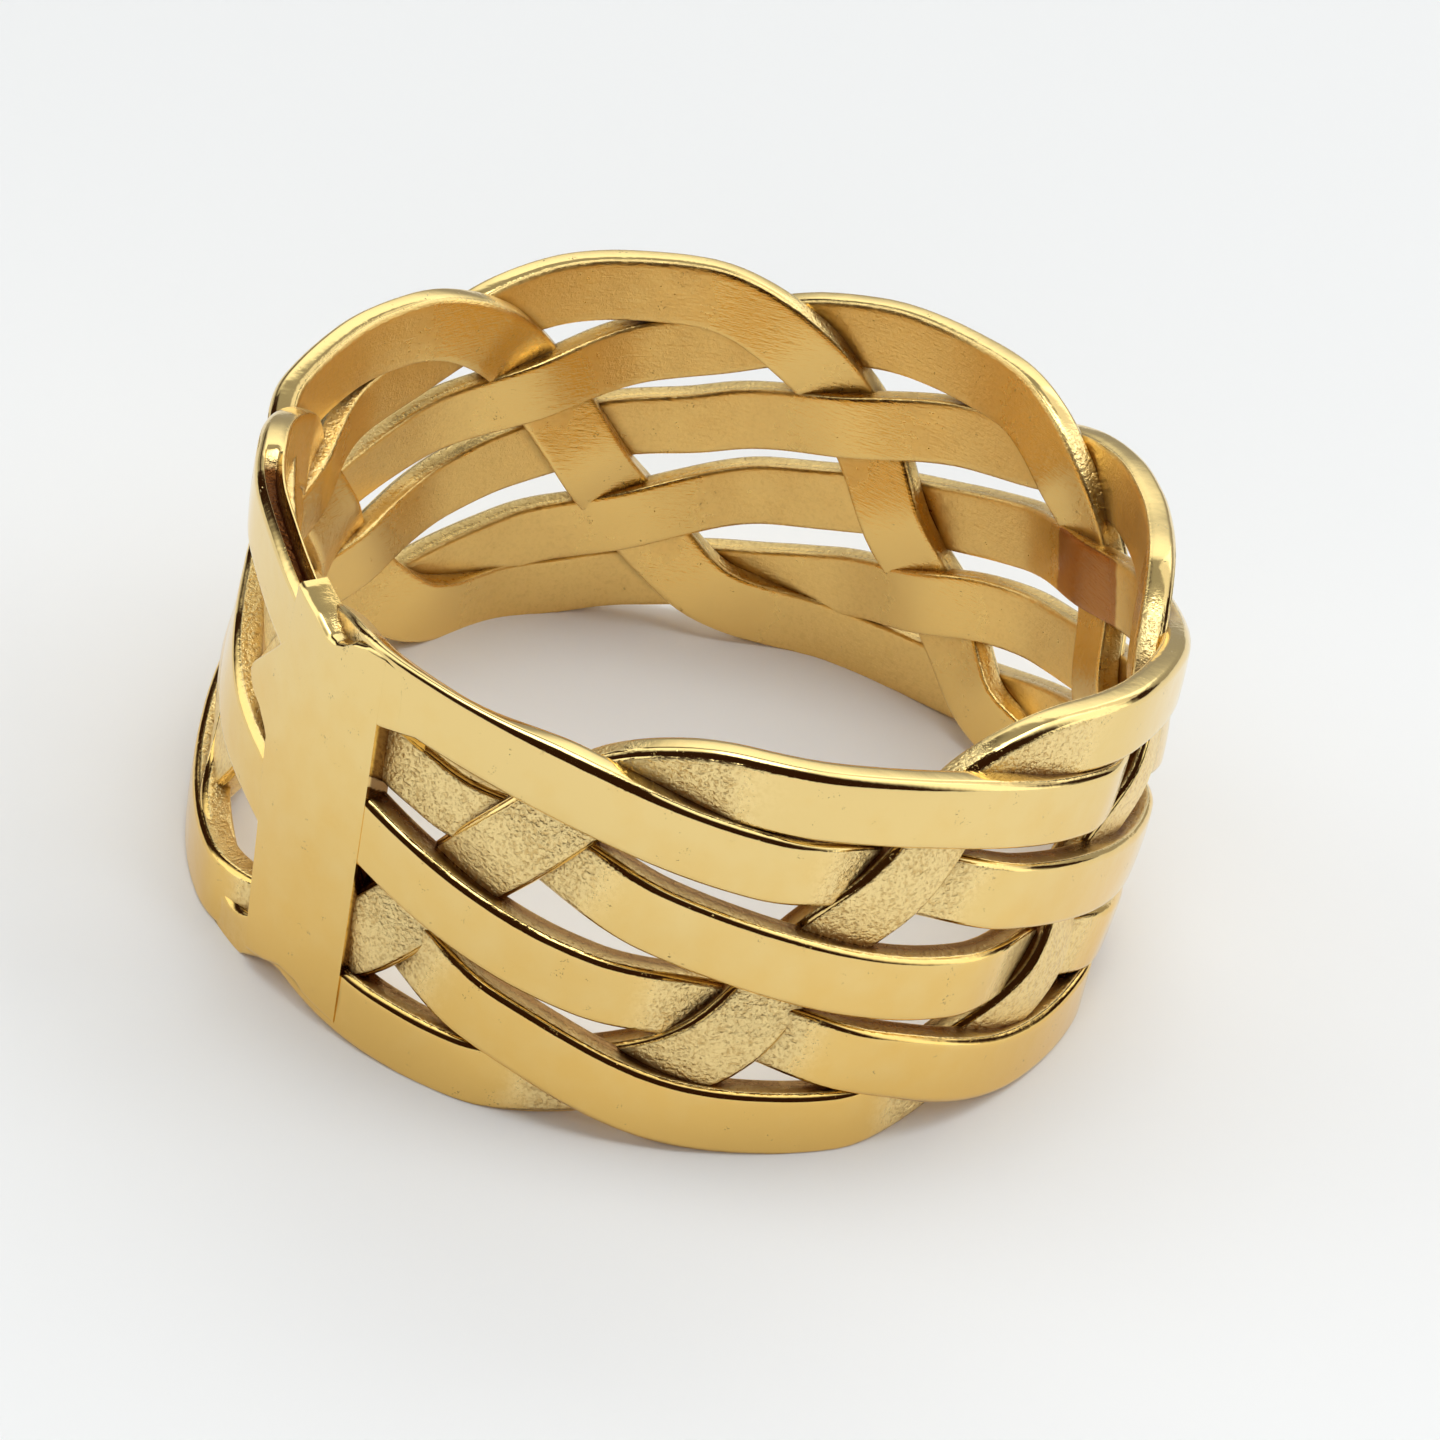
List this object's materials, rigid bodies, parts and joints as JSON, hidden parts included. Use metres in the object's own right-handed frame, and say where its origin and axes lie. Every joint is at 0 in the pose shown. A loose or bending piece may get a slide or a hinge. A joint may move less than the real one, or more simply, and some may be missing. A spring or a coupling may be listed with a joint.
{
  "type": "braided band ring",
  "caption": "Wide finger ring cast in one piece as an open flat braid of bevelled strands, with scalloped rims and a plain polished plate across the band.",
  "frame": {"origin": "centre of the finger hole, on the surface that the lower rim rests on", "axes": "+Z along the finger hole's axis, up as the ring lies; -Y towards the viewer of the picture; the plate is to the left of the front, at -X and -Y"},
  "size_m": [0.0206, 0.0206, 0.0096],
  "materials": {
    "gold": "polished"
  },
  "bodies": {
    "root": {"woven_band": "gold"}
  },
  "joints": []
}
